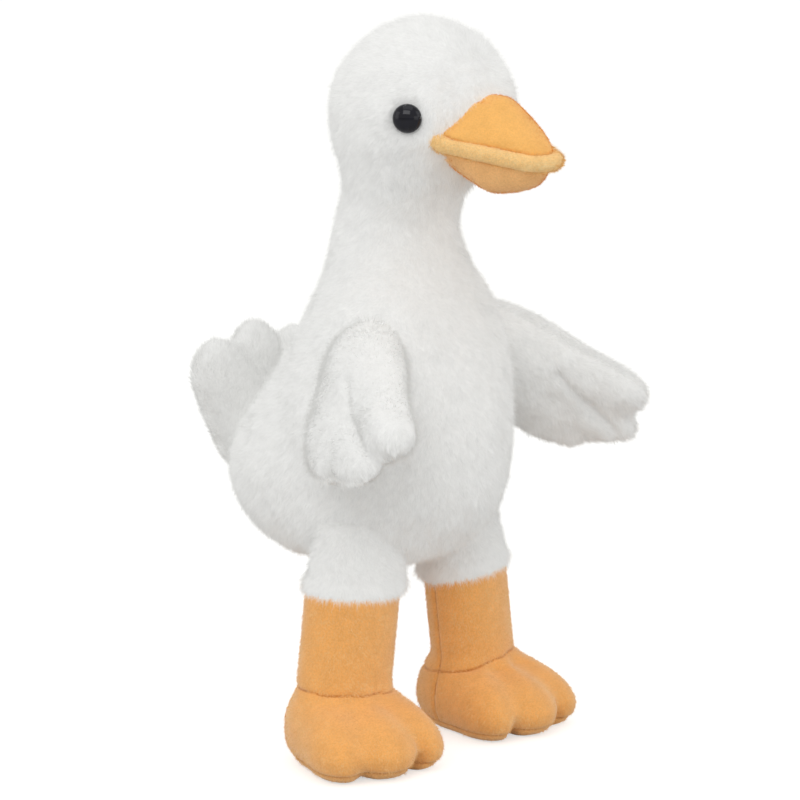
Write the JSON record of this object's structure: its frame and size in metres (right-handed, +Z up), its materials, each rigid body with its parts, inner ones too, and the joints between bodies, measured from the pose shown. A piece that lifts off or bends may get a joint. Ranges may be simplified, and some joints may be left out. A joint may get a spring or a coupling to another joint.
{
  "type": "plush goose",
  "caption": "Soft stuffed goose toy that stands on flat soles, with spread wings, a fanned tail, toed feet, a bill with a rolled lip and domed eyes.",
  "frame": {"origin": "middle of the bounding box, on the ground under the soles", "axes": "+Z up along the goose's height, -Y the way the goose faces, +X its left side"},
  "size_m": [0.176, 0.1706, 0.3092],
  "materials": {
    "white_plush": "soft short pile",
    "orange_plush": "fine velvety nap",
    "pale_orange_plush": "soft pile",
    "black_plastic": "polished",
    "washer_plastic": "moulded"
  },
  "bodies": {
    "root": {"body": "white_plush", "tail": "white_plush", "wing_left": "white_plush", "wing_right": "white_plush", "thigh_cuff_left": "white_plush", "thigh_cuff_right": "white_plush", "shin_left": "orange_plush", "shin_right": "orange_plush", "foot_left": "orange_plush", "foot_right": "orange_plush", "sole_left": "orange_plush", "sole_right": "orange_plush", "bill_upper": "orange_plush", "bill_lower": "orange_plush", "bill_lip": "pale_orange_plush", "eye_left": "black_plastic", "eye_right": "black_plastic", "eye_washer_left": "washer_plastic", "eye_washer_right": "washer_plastic"}
  },
  "joints": []
}
